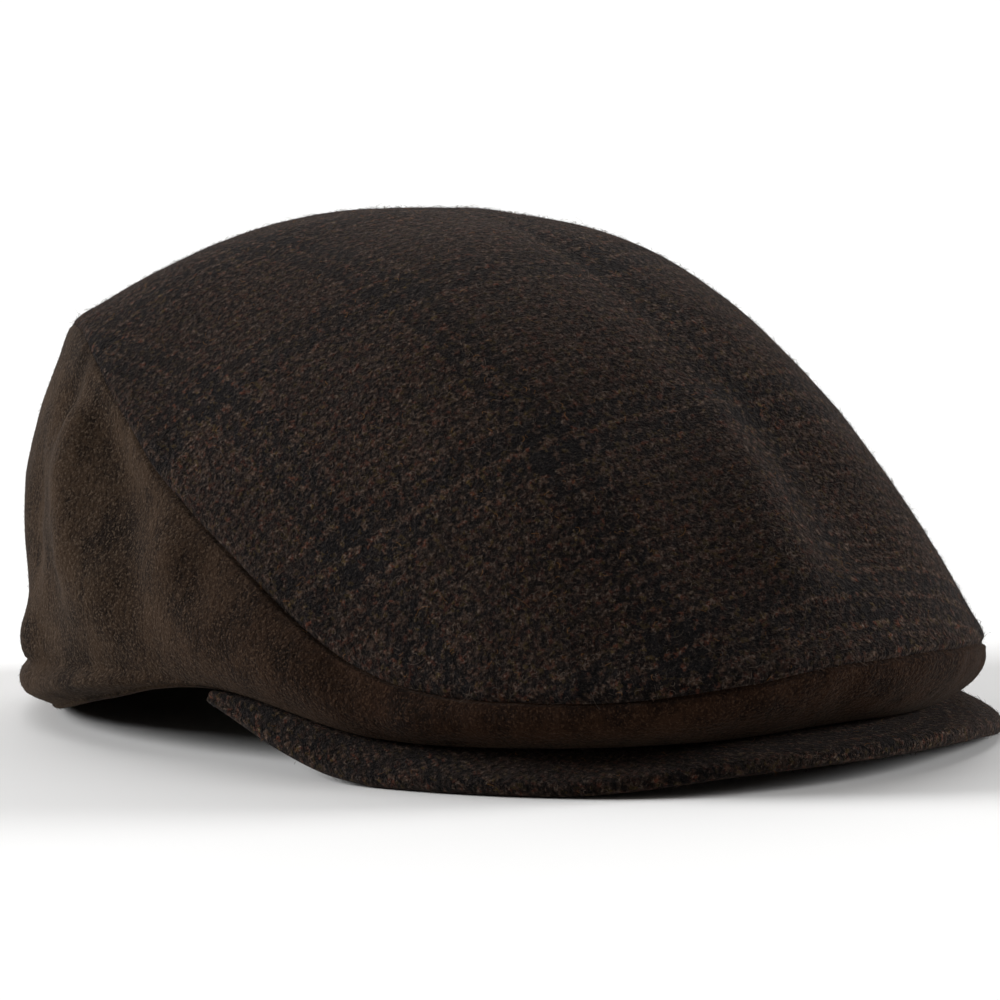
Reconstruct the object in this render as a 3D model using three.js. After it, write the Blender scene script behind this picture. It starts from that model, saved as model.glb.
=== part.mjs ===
// Flat cap: a tweed crown, a suede side band and a tweed-covered visor.
// Millimetres, +Z up. The front points along -Y and the wearer's left along +X.
// Angles are in degrees round the head, 0 at the front and 180 at the nape.

import * as THREE from 'three';

// Driving sizes
const capWidth = 190;
const frontReach = 148;
const backReach = 118;
const crownHeight = 116.8;
const peakForward = 7.5;
const crownSlope = 0.075;
const shoulderRise = 2;
const tweedWall = 2.4;
const suedeWall = 2;
const suedeBulge = 10;
const napeRoll = 7;
const napeHemHeight = 12;
const napeCreaseDepth = 1.4;
const visorReach = 15.5;
const visorTuck = 27;
const visorThickness = 4;
const seamGap = 0.3;

// Fineness of the faceted surfaces
const anglesRound = 72;
const crownRings = [0.12, 0.26, 0.39, 0.51, 0.62, 0.71, 0.79, 0.86, 0.915, 0.955, 0.98, 1];
const bandRings = [0, 0.05, 0.1, 0.14, 0.19, 0.25, 0.33, 0.44, 0.57, 0.71, 0.84, 0.94, 1];

// The outline, a row every 20 degrees. Reaches are shares of the oval that capWidth, frontReach and
// backReach span, heights are shares of crownHeight, shoulder of shoulderRise, bulge of suedeBulge,
// roll of napeRoll, crease of napeCreaseDepth and hemStrip of napeHemHeight. Dome is the exponent
// of the crown's section: 2 is a parabola and more is flatter on top. Lean places the bulge: below 1
// it is fullest under the middle of the band, above 1 over it.
const outline = [
  { angle: 0, seamReach: 1.008, seamHeight: 0.241, hemReach: 0.895, hemHeight: 0.087,
    dome: 2.1, shoulder: 0.4, bulge: 0.38, lean: 0.8, roll: 0, crease: 0, hemStrip: 0 },
  { angle: 20, seamReach: 1.012, seamHeight: 0.197, hemReach: 0.911, hemHeight: 0.079,
    dome: 2.32, shoulder: 0.6, bulge: 0.42, lean: 0.8, roll: 0, crease: 0, hemStrip: 0 },
  { angle: 40, seamReach: 1.008, seamHeight: 0.171, hemReach: 0.933, hemHeight: 0.073,
    dome: 2.5, shoulder: 0.8, bulge: 0.52, lean: 0.8, roll: 0, crease: 0, hemStrip: 0 },
  { angle: 60, seamReach: 0.99, seamHeight: 0.211, hemReach: 0.948, hemHeight: 0.08,
    dome: 2.54, shoulder: 1.1, bulge: 0.68, lean: 0.8, roll: 0, crease: 0, hemStrip: 0 },
  { angle: 80, seamReach: 0.921, seamHeight: 0.437, hemReach: 0.93, hemHeight: 0.14,
    dome: 2.44, shoulder: 0.5, bulge: 0.81, lean: 0.85, roll: 0, crease: 0.15, hemStrip: 0.12 },
  { angle: 100, seamReach: 0.865, seamHeight: 0.647, hemReach: 0.922, hemHeight: 0.085,
    dome: 2.33, shoulder: 0, bulge: 0.9, lean: 1, roll: 0.1, crease: 0.5, hemStrip: 0.5 },
  { angle: 120, seamReach: 0.841, seamHeight: 0.781, hemReach: 0.928, hemHeight: 0.023,
    dome: 2.25, shoulder: -0.2, bulge: 0.93, lean: 1.15, roll: 0.62, crease: 0.8, hemStrip: 0.9 },
  { angle: 140, seamReach: 0.856, seamHeight: 0.776, hemReach: 0.91, hemHeight: 0,
    dome: 2.22, shoulder: -0.3, bulge: 0.93, lean: 1.15, roll: 0.8, crease: 0.9, hemStrip: 1 },
  { angle: 160, seamReach: 0.867, seamHeight: 0.771, hemReach: 0.893, hemHeight: 0,
    dome: 2.2, shoulder: -0.4, bulge: 0.92, lean: 1.1, roll: 0.85, crease: 1, hemStrip: 1 },
  { angle: 180, seamReach: 0.867, seamHeight: 0.787, hemReach: 0.888, hemHeight: 0,
    dome: 2.17, shoulder: -0.5, bulge: 0.94, lean: 1.1, roll: 0.8, crease: 0.9, hemStrip: 1 },
];

// The visor, a row every 20 degrees each way from the front. Reach is beyond the hem, a share of
// visorReach. Tuck is inside the hem, a share of visorTuck. Heights are shares of crownHeight:
// edgeHeight of the edge's underside and innerHeight of the inner edge's top.
const visorOutline = [
  { angle: 0, reach: 1, tuck: 1, edgeHeight: 0.038, innerHeight: 0.117 },
  { angle: 20, reach: 0.88, tuck: 0.88, edgeHeight: 0.029, innerHeight: 0.116 },
  { angle: 40, reach: 0.84, tuck: 0.58, edgeHeight: 0, innerHeight: 0.113 },
  { angle: 60, reach: 0.47, tuck: 0.29, edgeHeight: 0.012, innerHeight: 0.111 },
  { angle: 80, reach: 0.05, tuck: 0.13, edgeHeight: 0.095, innerHeight: 0.123 },
];
const visorHalfAngle = 80;

// Folds and dents, each a soft hollow along a line from one point to another of a panel. Shares run
// from the crown's peak to the seam, and from the band's hem to the seam. Depth is a share of
// foldDepth, negative for a ridge, and width a share of foldWidth.
const foldDepth = 4;
const foldWidth = 12;
const crownFolds = [
  { name: 'front ridge', angle: 3, share: 0.68, toAngle: 7, toShare: 0.88, depth: -0.4, width: 0.8 },
  { name: 'front hollow', angle: -6, share: 0.7, toAngle: -5, toShare: 0.84, depth: 0.5, width: 1.2 },
  { name: 'side hollow', angle: 30, share: 0.72, toAngle: 24, toShare: 0.86, depth: 0.3, width: 1.5 },
];
const bandFolds = [
  { name: 'upright hollow', angle: 103, share: 0.9, toAngle: 94, toShare: 0.56, depth: 0.8, width: 0.9 },
  { name: 'upper ridge', angle: 113, share: 0.72, toAngle: 107, toShare: 0.55, depth: -0.4, width: 0.7 },
  { name: 'slanted ridge', angle: 118, share: 0.2, toAngle: 88, toShare: 0.72, depth: -0.5, width: 0.9 },
  { name: 'front dimple', angle: 62, share: 0.9, toAngle: 60, toShare: 0.55, depth: 0.3, width: 0.6 },
];

// A cubic curve through a column of an evenly spaced table, alike on both sides of the head
function column(table, name, angle) {
  const spacing = table[1].angle - table[0].angle;
  const last = table.length - 1;
  const turned = Math.abs(((((angle + 180) % 360) + 360) % 360) - 180);
  const place = Math.min(turned / spacing, last);
  const row = Math.min(Math.floor(place), last - 1);
  const along = place - row;
  const before = table[Math.abs(row - 1)][name];
  const start = table[row][name];
  const end = table[row + 1][name];
  const closes = table[last].angle === 180;
  const after = row + 2 <= last ? table[row + 2][name] : closes ? table[last - 1][name] : 2 * end - start;
  const rise = (after - before - 3 * (end - start)) * along ** 3;
  const bend = (2 * before - 5 * start + 4 * end - after) * along ** 2;
  return start + 0.5 * ((end - before) * along + bend + rise);
}

// The direction from the head's centre line at an angle
function radial(angle) {
  const turn = THREE.MathUtils.degToRad(angle);
  const reach = Math.cos(turn) > 0 ? frontReach : backReach;
  return new THREE.Vector3((-capWidth / 2) * Math.sin(turn), -reach * Math.cos(turn), 0);
}

// A point of the oval at an angle, a share of its reach and a height
function ovalPoint(angle, reach, height) {
  return radial(angle).multiplyScalar(reach).setZ(height);
}

function hemHeight(angle) {
  return Math.max(0, column(outline, 'hemHeight', angle)) * crownHeight;
}

function hemPoint(angle) {
  return ovalPoint(angle, column(outline, 'hemReach', angle), hemHeight(angle));
}

function seamPoint(angle) {
  const height = column(outline, 'seamHeight', angle) * crownHeight;
  return ovalPoint(angle, column(outline, 'seamReach', angle), height);
}

// The crown's smooth form: share 0 at its peak, 1 at the seam
function crownForm(angle, share) {
  const seam = seamPoint(angle);
  const point = new THREE.Vector3(0, -peakForward, 0).lerp(seam, share);
  const drop = (crownHeight - seam.z) * share ** column(outline, 'dome', angle);
  const slope = crownSlope * (point.y + peakForward) * (1 - share ** 2);
  const shoulder = column(outline, 'shoulder', angle) * shoulderRise * 4 * share ** 2 * (1 - share ** 2);
  return point.setZ(crownHeight - drop + slope + shoulder);
}

// The band's smooth form: share 0 at the hem, 1 at the seam
function bandForm(angle, share) {
  const hem = hemPoint(angle);
  const point = hem.clone().lerp(seamPoint(angle), share);
  const above = point.z - hem.z;
  const strip = column(outline, 'hemStrip', angle) * napeHemHeight;
  const swell = Math.sin(Math.PI * share ** column(outline, 'lean', angle));
  const bulge = column(outline, 'bulge', angle) * suedeBulge * swell;
  const rollPlace = (above - 1.55 * strip) / (0.65 * napeHemHeight);
  const roll = column(outline, 'roll', angle) * napeRoll * Math.exp(-(rollPlace ** 2));
  const creasePlace = (above - strip) / (0.22 * napeHemHeight);
  const crease = column(outline, 'crease', angle) * napeCreaseDepth * Math.exp(-(creasePlace ** 2));
  const settled = Math.min(1, above / (0.4 * napeHemHeight));
  return point.addScaledVector(radial(angle).normalize(), bulge + (roll - crease) * settled);
}

// The outward normal of a form, from steps along its angle and share
function outward(form, angle, share) {
  const small = 0.01;
  const low = Math.max(share - small, 0);
  const high = Math.min(share + small, 1);
  const across = form(angle + 1, share).sub(form(angle - 1, share));
  const along = form(angle, high).sub(form(angle, low));
  const normal = across.cross(along).normalize();
  const fromHead = form(angle, share).sub(new THREE.Vector3(0, 0, crownHeight / 3));
  return normal.dot(fromHead) < 0 ? normal.negate() : normal;
}

// How far the folds press a point in: each is deepest on the line between its two ends
function foldPress(point, form, folds) {
  let press = 0;
  for (const fold of folds) {
    const line = new THREE.Line3(form(fold.angle, fold.share), form(fold.toAngle, fold.toShare));
    const nearest = line.closestPointToPoint(point, true, new THREE.Vector3());
    const distance = nearest.distanceTo(point) / (fold.width * foldWidth);
    press += fold.depth * foldDepth * Math.exp(-(distance ** 2));
  }
  return press;
}

// A form with its folds, which fade out at the seam and the hem
function folded(form, folds, fade) {
  return (angle, share) => {
    const point = form(angle, share);
    const press = foldPress(point, form, folds) * fade(share);
    return point.addScaledVector(outward(form, angle, share), -press);
  };
}

const fadeToSeam = (share) => Math.min(1, 8 * (1 - share));
const fadeToBothEdges = (share) => Math.min(1, 10 * share, 8 * (1 - share));
const crownSurface = folded(crownForm, crownFolds, fadeToSeam);
const bandSurface = folded(bandForm, bandFolds, fadeToBothEdges);

// At the seam both walls end on one mitre plane, half of seamGap to each side of it
function seamEdge(angle, wall, side) {
  const crownNormal = outward(crownForm, angle, 1);
  const bandNormal = outward(bandForm, angle, 1);
  const toCrown = crownForm(angle, 0.99).sub(seamPoint(angle)).normalize();
  const toBand = bandForm(angle, 0.99).sub(seamPoint(angle)).normalize();
  const across = toCrown.sub(toBand).normalize();
  const spread = 1 + crownNormal.dot(bandNormal);
  const outer = seamPoint(angle).addScaledVector(across, (side * seamGap) / 2);
  const inner = outer.clone().addScaledVector(crownNormal.add(bandNormal), -wall / spread);
  return { outer, inner };
}

// A closed skin over rings of points. It closes into a loop, or ends in two flat fans.
function skin(rings, loops) {
  const count = rings[0].length;
  const points = rings.flat();
  const index = [];
  const spans = loops ? rings.length : rings.length - 1;
  for (let ring = 0; ring < spans; ring += 1) {
    for (let step = 0; step < count; step += 1) {
      const next = (step + 1) % count;
      const here = ring * count;
      const there = ((ring + 1) % rings.length) * count;
      index.push(here + step, there + step, there + next);
      index.push(here + step, there + next, here + next);
    }
  }
  if (!loops) {
    const lastRing = (rings.length - 1) * count;
    const firstMiddle = points.push(middle(rings[0])) - 1;
    const lastMiddle = points.push(middle(rings[rings.length - 1])) - 1;
    for (let step = 0; step < count; step += 1) {
      const next = (step + 1) % count;
      index.push(firstMiddle, step, next);
      index.push(lastMiddle, lastRing + next, lastRing + step);
    }
  }
  const geometry = new THREE.BufferGeometry().setFromPoints(points);
  geometry.setIndex(facingOut(points, index));
  geometry.computeVertexNormals();
  return geometry;
}

function middle(ring) {
  const sum = ring.reduce((total, point) => total.add(point), new THREE.Vector3());
  return sum.divideScalar(ring.length);
}

// The triangles, turned over if they enclose a negative volume
function facingOut(points, index) {
  let volume = 0;
  for (let at = 0; at < index.length; at += 3) {
    const [first, second, third] = index.slice(at, at + 3).map((place) => points[place]);
    volume += first.dot(second.clone().cross(third));
  }
  return volume < 0 ? index.toReversed() : index;
}

function aroundHead(makePoint) {
  return Array.from({ length: anglesRound }, (_, step) => makePoint((step * 360) / anglesRound));
}

// A wall's two faces as rings of points, without its edges: outer, and inner one wall further in
function wallRings(surface, form, wall, shares) {
  const faceRing = (share, depth) => aroundHead((angle) => {
    return surface(angle, share).addScaledVector(outward(form, angle, share), -depth);
  });
  const outerRings = shares.map((share) => faceRing(share, 0));
  const innerRings = shares.map((share) => faceRing(share, wall)).toReversed();
  return { outerRings, innerRings };
}

function crownGeometry() {
  const { outerRings, innerRings } = wallRings(crownSurface, crownForm, tweedWall, crownRings.slice(0, -1));
  const outerEdge = aroundHead((angle) => seamEdge(angle, tweedWall, 1).outer);
  const innerEdge = aroundHead((angle) => seamEdge(angle, tweedWall, 1).inner);
  return skin([...outerRings, outerEdge, innerEdge, ...innerRings], false);
}

function bandGeometry() {
  const { outerRings, innerRings } = wallRings(bandSurface, bandForm, suedeWall, bandRings.slice(1, -1));
  const hemOuter = aroundHead(hemPoint);
  const hemInner = aroundHead((angle) => {
    return hemPoint(angle).addScaledVector(radial(angle).normalize(), -suedeWall);
  });
  const outerEdge = aroundHead((angle) => seamEdge(angle, suedeWall, -1).outer);
  const innerEdge = aroundHead((angle) => seamEdge(angle, suedeWall, -1).inner);
  return skin([hemOuter, ...outerRings, outerEdge, innerEdge, ...innerRings, hemInner], true);
}

// A visor section from its inner edge to its outer edge. The board is level where the hem lies on it,
// with a small ledge each side of the suede, and its edges are rounded.
function visorSection(angle) {
  const ledge = 1;
  const outwards = radial(angle).normalize();
  const hem = hemPoint(angle);
  const out = (point, distance) => point.clone().addScaledVector(outwards, distance);
  const tuck = column(visorOutline, 'tuck', angle) * visorTuck;
  const reach = column(visorOutline, 'reach', angle) * visorReach;
  const inner = out(hem, -suedeWall - tuck);
  const edge = out(hem, ledge + reach);
  inner.z = column(visorOutline, 'innerHeight', angle) * crownHeight - visorThickness;
  edge.z = Math.max(0, column(visorOutline, 'edgeHeight', angle)) * crownHeight;
  const seatInner = out(hem, -suedeWall - ledge);
  const seatOuter = out(hem, ledge / 2);
  seatInner.z -= seamGap + visorThickness;
  seatOuter.z -= seamGap + visorThickness;
  const between = seatOuter.clone().lerp(edge, 0.5);
  const rounding = 0.3 * visorThickness;
  const lift = (point, share) => point.clone().setZ(point.z + share * visorThickness);
  return [
    lift(inner, 0.25),
    out(inner, rounding),
    seatInner,
    seatOuter,
    between,
    out(edge, -rounding),
    lift(edge, 0.25),
    lift(edge, 0.75),
    lift(out(edge, -rounding), 1),
    lift(between, 1),
    lift(seatOuter, 1),
    lift(seatInner, 1),
    lift(out(inner, rounding), 1),
    lift(inner, 0.75),
  ];
}

function visorGeometry() {
  const stepAngle = 360 / anglesRound;
  const sections = [];
  for (let angle = -visorHalfAngle; angle <= visorHalfAngle; angle += stepAngle) {
    sections.push(visorSection(angle));
  }
  return skin(sections, false);
}

const tweed = { color: 0x33291f, roughness: 0.95, metalness: 0 };
const suede = { color: 0x3c3026, roughness: 0.9, metalness: 0 };

function piece(name, geometry, finish) {
  const mesh = new THREE.Mesh(geometry, new THREE.MeshStandardMaterial(finish));
  mesh.name = name;
  return mesh;
}

const cap = new THREE.Group();
cap.add(piece('crown_panel', crownGeometry(), tweed));
cap.add(piece('side_band', bandGeometry(), suede));
cap.add(piece('visor', visorGeometry(), tweed));

// The cap stands on the origin, centred over it
const box = new THREE.Box3().setFromObject(cap);
const centre = box.getCenter(new THREE.Vector3());
cap.position.set(-centre.x, -centre.y, -box.min.z);

export default cap;
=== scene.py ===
"""A worn flat cap: a checked tweed crown, a suede side band and a tweed visor."""

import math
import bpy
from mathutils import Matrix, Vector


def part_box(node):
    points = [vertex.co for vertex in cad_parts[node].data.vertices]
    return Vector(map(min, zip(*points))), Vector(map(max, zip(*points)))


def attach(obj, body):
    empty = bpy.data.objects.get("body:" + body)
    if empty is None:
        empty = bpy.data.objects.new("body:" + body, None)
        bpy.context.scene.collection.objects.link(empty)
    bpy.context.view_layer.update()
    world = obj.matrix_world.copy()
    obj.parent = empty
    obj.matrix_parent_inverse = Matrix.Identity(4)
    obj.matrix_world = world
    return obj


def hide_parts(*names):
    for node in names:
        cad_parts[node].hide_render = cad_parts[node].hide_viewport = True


bl_info = {
    "name": "Tweed and Suede Flat Cap",
    "version": (1, 0, 0),
    "blender": (4, 5, 0),
    "location": "View3D > Sidebar > Flat Cap",
    "description": "Makes a flat cap of checked tweed and suede over its frame",
    "category": "Add Mesh",
}

import bpy
import numpy as np
from mathutils import Matrix, Vector, noise

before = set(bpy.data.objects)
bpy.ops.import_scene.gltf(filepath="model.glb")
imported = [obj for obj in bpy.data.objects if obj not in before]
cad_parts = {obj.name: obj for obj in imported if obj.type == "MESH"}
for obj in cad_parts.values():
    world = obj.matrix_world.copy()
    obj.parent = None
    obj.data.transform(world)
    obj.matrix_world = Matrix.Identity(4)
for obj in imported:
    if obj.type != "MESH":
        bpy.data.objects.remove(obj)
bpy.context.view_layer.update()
CROWN_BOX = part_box("crown_panel")

MM = 0.001

# The outline by angle round the head, a value every 20 degrees from the front to the nape.
# Reaches are shares of the oval of the cap's width and reaches, heights shares of its height.
# Most of these shares, and the visor's, were worked out by a fit to places on the photo's outline.
ROW_STEP = 20
OUTLINE = {
    "seam_reach": (1.008, 1.012, 1.008, 0.99, 0.921, 0.865, 0.841, 0.856, 0.867, 0.867),
    "seam_height": (0.241, 0.197, 0.171, 0.211, 0.437, 0.647, 0.781, 0.776, 0.771, 0.787),
    "hem_reach": (0.895, 0.911, 0.933, 0.948, 0.93, 0.922, 0.928, 0.91, 0.893, 0.888),
    "hem_height": (0.087, 0.079, 0.073, 0.08, 0.14, 0.085, 0.023, 0, 0, 0),
    "dome": (2.1, 2.32, 2.5, 2.54, 2.44, 2.33, 2.25, 2.22, 2.2, 2.17),
    "shoulder": (0.4, 0.6, 0.8, 1.1, 0.5, 0, -0.2, -0.3, -0.4, -0.5),
    "bulge": (0.38, 0.42, 0.52, 0.68, 0.81, 0.9, 0.93, 0.93, 0.92, 0.94),
    "lean": (0.8, 0.8, 0.8, 0.8, 0.85, 1, 1.15, 1.15, 1.1, 1.1),
    "roll": (0, 0, 0, 0, 0, 0.1, 0.62, 0.8, 0.85, 0.8),
    "crease": (0, 0, 0, 0, 0.2, 0.8, 0.9, 0.9, 1, 0.9),
    "hem_strip": (0, 0, 0, 0, 0.05, 0.62, 0.95, 1, 1, 1),
}

# The visor, every 20 degrees out to its ends
VISOR = {
    "reach": (1, 0.88, 0.84, 0.5, 0.05),
    "tuck": (1, 0.88, 0.58, 0.29, 0.13),
    "edge_height": (0.038, 0.029, 0, 0, 0.075),
    "inner_height": (0.117, 0.116, 0.113, 0.111, 0.123),
}
VISOR_HALF_ANGLE = 80
VISOR_THINS_FROM = 64

# Where the check's first yarns lie on the crown's cloth, in millimetres
CHECK_PLACE = (1.6, 18.98)

# The check's repeat, in yarns
CHECK_REPEAT = 60.0

# How many long stray fibres there are for each square metre of the crown
STRAY_FIBRES = 22000

# Where the seam runs a little high or low at the front: its place in degrees, its rise in
# millimetres and its width in degrees
SEAM_LIFTS = (
    ("front dip", 0, -2.2, 9),
    ("far front rise", -27, 2.2, 13),
)

# Folds: a hollow along a line from one place (angle, share) to another, with its depth and width
# in millimetres. A depth below zero is a ridge.
CROWN_FOLDS = (
    ("front ridge", (3, 0.66), (7, 0.9), -2.6, 8),
    ("front hollow", (-7, 0.7), (-8, 0.86), 3.0, 13),
    ("side hollow", (22, 0.7), (20, 0.86), 1.6, 16),
)
BAND_FOLDS = (
    ("upright hollow", (99.5, 0.93), (90, 0.56), 5.0, 10),
    ("upper ridge", (109, 0.84), (103, 0.5), -3.0, 7),
    ("slanted ridge", (118, 0.22), (84, 0.72), -3.0, 9),
    ("round dent", (113.5, 0.86), (113, 0.83), 2.2, 6),
    ("rear hollow", (118, 0.62), (116, 0.44), 2.0, 7),
    ("front dimple", (62, 0.9), (60, 0.55), 1.6, 7),
    ("side hollow", (82, 0.66), (88, 0.4), 2.2, 10),
    ("low hollow", (106, 0.34), (112, 0.24), 2.4, 9),
    ("nape hollow", (150, 0.75), (158, 0.5), 1.8, 16),
    ("far hollow", (-99, 0.9), (-92, 0.5), 4.2, 11),
    ("far ridge", (-116, 0.28), (-88, 0.66), -2.6, 10),
    ("far dent", (-116, 0.82), (-113, 0.7), 1.8, 8),
)


def length_setting(label, description, metres):
    return bpy.props.FloatProperty(
        name=label, description=description, default=metres, unit="LENGTH", precision=5
    )


def colour_setting(label, description, value):
    return bpy.props.FloatVectorProperty(
        name=label, description=description, subtype="COLOR", size=3, default=value
    )


class CapSizes(bpy.types.PropertyGroup):
    """The cap's sizes, in metres"""

    cap_width: length_setting("Width", "Across the oval of the outline", 0.19)
    front_reach: length_setting("Front reach", "From the head's centre to the front", 0.148)
    back_reach: length_setting("Back reach", "From the head's centre to the nape", 0.118)
    crown_height: length_setting("Height", "From the surface to the peak", 0.1168)
    peak_forward: length_setting("Peak", "The peak's place before the head's centre", 0.0075)
    crown_slope: bpy.props.FloatProperty(
        name="Slope", description="How much the crown rises to the back", default=0.075
    )
    shoulder_rise: length_setting("Shoulder", "Fullness of the crown's shoulders", 0.002)
    suede_bulge: length_setting("Bulge", "How far the band swells out", 0.01)
    nape_roll: length_setting("Nape roll", "The fold over the hem at the nape", 0.0058)
    nape_hem: length_setting("Nape hem", "Height of the strip under that fold", 0.012)
    nape_crease: length_setting("Nape crease", "Depth of the crease between them", 0.0017)
    nape_puff: length_setting("Nape puff", "How far the strip under the fold swells", 0.0068)
    tweed_wall: length_setting("Tweed", "Thickness of the crown's cloth", 0.0024)
    suede_wall: length_setting("Suede", "Thickness of the band", 0.002)
    seam_groove: length_setting("Seam", "Depth of the groove at the seam", 0.0013)
    visor_reach: length_setting("Visor reach", "How far the visor shows", 0.0155)
    visor_tuck: length_setting("Visor tuck", "How far it goes in under the band", 0.027)
    visor_thickness: length_setting("Visor thickness", "Board and cloth together", 0.004)


class CapFinish(bpy.types.PropertyGroup):
    """The cap's colours, the size of its check, and its fibres"""

    tweed_slate: colour_setting("Slate yarn", "The darkest yarn", (0.0052, 0.0056, 0.0068))
    tweed_brown: colour_setting("Brown yarn", "The ground's brown", (0.0125, 0.0078, 0.0060))
    tweed_tan: colour_setting("Tan yarn", "The check's light yarn", (0.074, 0.044, 0.030))
    tweed_rust: colour_setting("Rust yarn", "The rust flecks", (0.090, 0.031, 0.018))
    tweed_gold: colour_setting("Gold yarn", "The gold flecks", (0.075, 0.048, 0.017))
    tweed_lint: colour_setting("Lint", "The pale hairs in the wool", (0.140, 0.104, 0.082))
    fibre_brown: colour_setting("Fibres", "Most of the loose wool", (0.016, 0.012, 0.011))
    fibre_warm: colour_setting("Warm fibres", "A few of the loose fibres", (0.20, 0.085, 0.02))
    suede_brown: colour_setting("Suede", "The suede's main brown", (0.036, 0.0216, 0.0124))
    suede_dark: colour_setting("Dark suede", "Where the nap lies down", (0.0085, 0.0047, 0.0027))
    suede_pale: colour_setting("Pale suede", "Tips of the raised nap", (0.084, 0.058, 0.039))
    # Painted shade: the colour multiplied into the suede and its nap towards the front
    suede_front_shade: colour_setting("Front shade", "How the brown darkens at the front", (0.60, 0.45, 0.38))
    warp_pitch: length_setting("Warp pitch", "From yarn to yarn across the cap", 0.0008)
    weft_pitch: length_setting("Weft pitch", "From yarn to yarn along the cap", 0.00094)
    crown_fibres: bpy.props.IntProperty(
        name="Crown fibres", description="Loose fibres for each square metre of tweed", default=194000
    )
    suede_fibres: bpy.props.IntProperty(
        name="Suede fibres", description="Raised fibres for each square metre of suede", default=222000
    )


def column(table, name, angle):
    """A cubic curve through one column, alike on both sides. Angle is in degrees."""
    values = np.array(table[name], float)
    last = len(values) - 1
    turned = np.abs((np.asarray(angle, float) + 180) % 360 - 180)
    place = np.minimum(turned / ROW_STEP, last)
    row = np.minimum(place.astype(int), last - 1)
    along = place - row
    closes = last * ROW_STEP == 180
    beyond = values[-2] if closes else 2 * values[-1] - values[-2]
    ends = np.concatenate([[values[1]], values, [beyond]])
    before, start, end, after = (ends[row + step] for step in range(4))
    rise = (after - before - 3 * (end - start)) * along**3
    bend = (2 * before - 5 * start + 4 * end - after) * along**2
    return start + 0.5 * ((end - before) * along + bend + rise)


def radial(sizes, angle):
    """The direction from the head's centre line, as long as the oval reaches there."""
    turn = np.radians(angle)
    reach = np.where(np.cos(turn) > 0, sizes.front_reach, sizes.back_reach)
    across = -0.5 * sizes.cap_width * np.sin(turn)
    return np.stack([across, -reach * np.cos(turn), np.zeros_like(turn)], axis=-1)


def unit(vectors):
    return vectors / np.maximum(np.linalg.norm(vectors, axis=-1, keepdims=True), 1e-12)


def oval_points(sizes, angle, reach, height):
    points = radial(sizes, angle) * reach[..., None]
    points[..., 2] = height
    return points


def hem_points(sizes, angle):
    height = np.maximum(0, column(OUTLINE, "hem_height", angle)) * sizes.crown_height
    return oval_points(sizes, angle, column(OUTLINE, "hem_reach", angle), height)


def seam_points(sizes, angle):
    height = column(OUTLINE, "seam_height", angle) * sizes.crown_height
    for _name, place, lift, width in SEAM_LIFTS:
        gap = (angle - place + 180) % 360 - 180
        height = height + lift * MM * np.exp(-((gap / width) ** 2))
    return oval_points(sizes, angle, column(OUTLINE, "seam_reach", angle), height)


def crown_form(sizes, angle, share):
    """The crown's smooth form: share 0 at the peak, 1 at the seam."""
    seam = seam_points(sizes, angle)
    peak = np.array([0, -sizes.peak_forward, 0])
    points = peak + (seam - peak) * share[..., None]
    drop = (sizes.crown_height - seam[..., 2]) * share ** column(OUTLINE, "dome", angle)
    slope = sizes.crown_slope * (points[..., 1] + sizes.peak_forward) * (1 - share**2)
    shoulder = column(OUTLINE, "shoulder", angle) * sizes.shoulder_rise * 4 * share**2 * (1 - share**2)
    points[..., 2] = sizes.crown_height - drop + slope + shoulder
    return points


def band_form(sizes, angle, share):
    """The band's smooth form: share 0 at the hem, 1 at the seam."""
    hem = hem_points(sizes, angle)
    points = hem + (seam_points(sizes, angle) - hem) * share[..., None]
    above = points[..., 2] - hem[..., 2]
    strip = column(OUTLINE, "hem_strip", angle) * sizes.nape_hem
    swell = np.sin(np.pi * share ** column(OUTLINE, "lean", angle))
    bulge = column(OUTLINE, "bulge", angle) * sizes.suede_bulge * swell
    roll_place = (above - 1.32 * strip) / (0.62 * sizes.nape_hem)
    roll = column(OUTLINE, "roll", angle) * sizes.nape_roll * np.exp(-(roll_place**2))
    crease_place = (above - strip) / (0.13 * sizes.nape_hem)
    crease = column(OUTLINE, "crease", angle) * sizes.nape_crease * np.exp(-(crease_place**2))
    puff_place = (above - 0.48 * strip) / (0.5 * np.maximum(strip, 0.1 * sizes.nape_hem))
    puff = column(OUTLINE, "crease", angle) * sizes.nape_puff * np.exp(-(puff_place**2))
    settled = np.minimum(1, above / (0.28 * sizes.nape_hem))
    out = bulge + (roll + puff - crease) * settled
    return points + unit(radial(sizes, angle)) * out[..., None]


def grid_normals(points, head_centre):
    """Outward normals of a grid: its first axis goes round the head, its second along a panel."""
    across = np.roll(points, -1, axis=0) - np.roll(points, 1, axis=0)
    along = np.gradient(points, axis=1)
    normals = unit(np.cross(across, along))
    turned = np.sum(normals * (points - head_centre), axis=-1) < 0
    return np.where(turned[..., None], -normals, normals)


def fold_depths(points, form, sizes, folds):
    """How far the folds press each point in, in metres."""
    press = np.zeros(points.shape[:-1])
    for _name, start, end, depth, width in folds:
        first = form(sizes, np.array([start[0]], float), np.array([start[1]], float))[0]
        last = form(sizes, np.array([end[0]], float), np.array([end[1]], float))[0]
        line = last - first
        along = np.clip(((points - first) @ line) / (line @ line), 0, 1)
        distance = np.linalg.norm(points - first - along[..., None] * line, axis=-1)
        press += depth * MM * np.exp(-((distance / (width * MM)) ** 2))
    return press


def unevenness(points, size, depth, seed):
    """Soft uneven swells in the cloth, of a given size and depth."""
    flat = points.reshape(-1, 3) / size + seed
    heights = [noise.fractal(Vector(place), 1.0, 2.0, 3) for place in flat]
    return np.array(heights).reshape(points.shape[:-1]) * depth


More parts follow.
